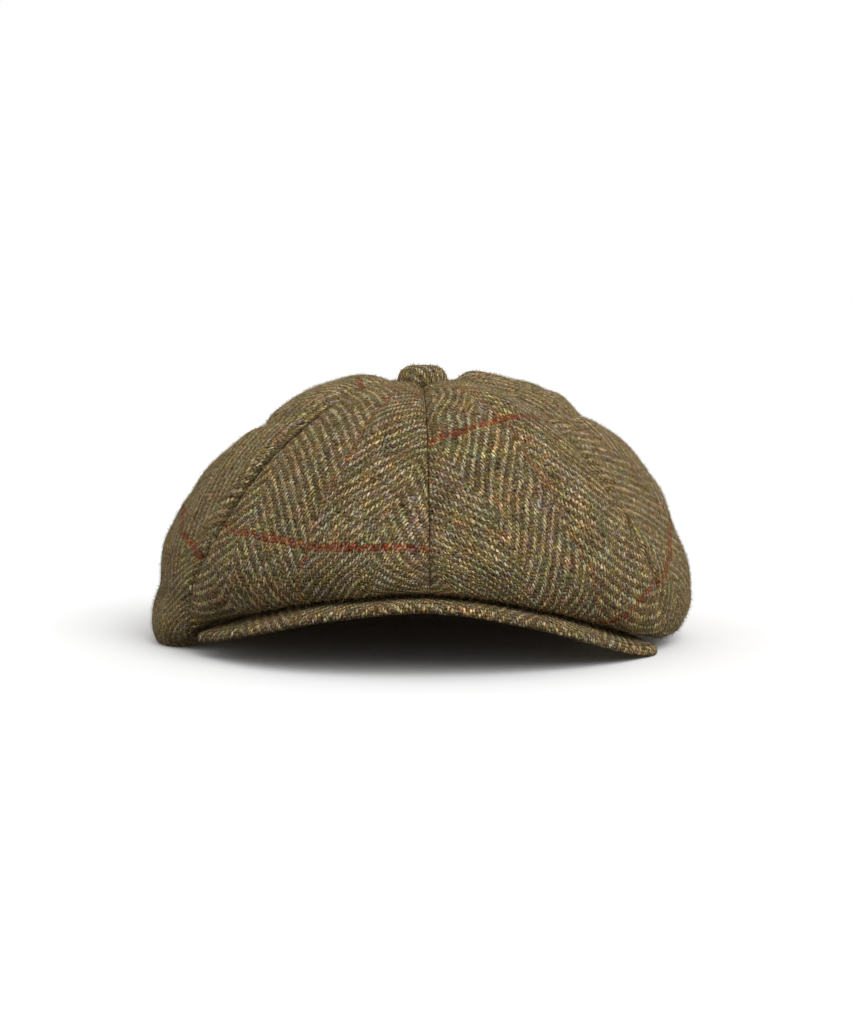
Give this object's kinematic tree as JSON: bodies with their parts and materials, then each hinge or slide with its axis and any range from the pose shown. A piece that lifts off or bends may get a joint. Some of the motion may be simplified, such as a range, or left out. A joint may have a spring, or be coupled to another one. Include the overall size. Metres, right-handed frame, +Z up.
{
  "type": "hunting cap",
  "caption": "Soft tweed cap: puffed crown panels sewn to a head band, a stiff arched peak in front and a cloth-covered button on top; the head space is open below.",
  "frame": {"origin": "middle of the cap's outline seen from above, on the surface it rests on", "axes": "+Z up; the peak points to -Y; +X to the right as seen from the front"},
  "size_m": [0.2576, 0.2856, 0.1308],
  "materials": {
    "crown_cloth": "herringbone tweed, brown and olive with a rust overcheck",
    "peak_cloth": "the same tweed over a stiff board",
    "band_cloth": "plain brown cloth",
    "button_cloth": "the same tweed over a button"
  },
  "bodies": {
    "root": {"panel_back_left": "crown_cloth", "panel_rear_side_left": "crown_cloth", "panel_side_left": "crown_cloth", "panel_front_left": "crown_cloth", "panel_front_right": "crown_cloth", "panel_side_right": "crown_cloth", "panel_rear_side_right": "crown_cloth", "panel_back_right": "crown_cloth", "peak": "peak_cloth", "head_band": "band_cloth", "button": "button_cloth"}
  },
  "joints": []
}
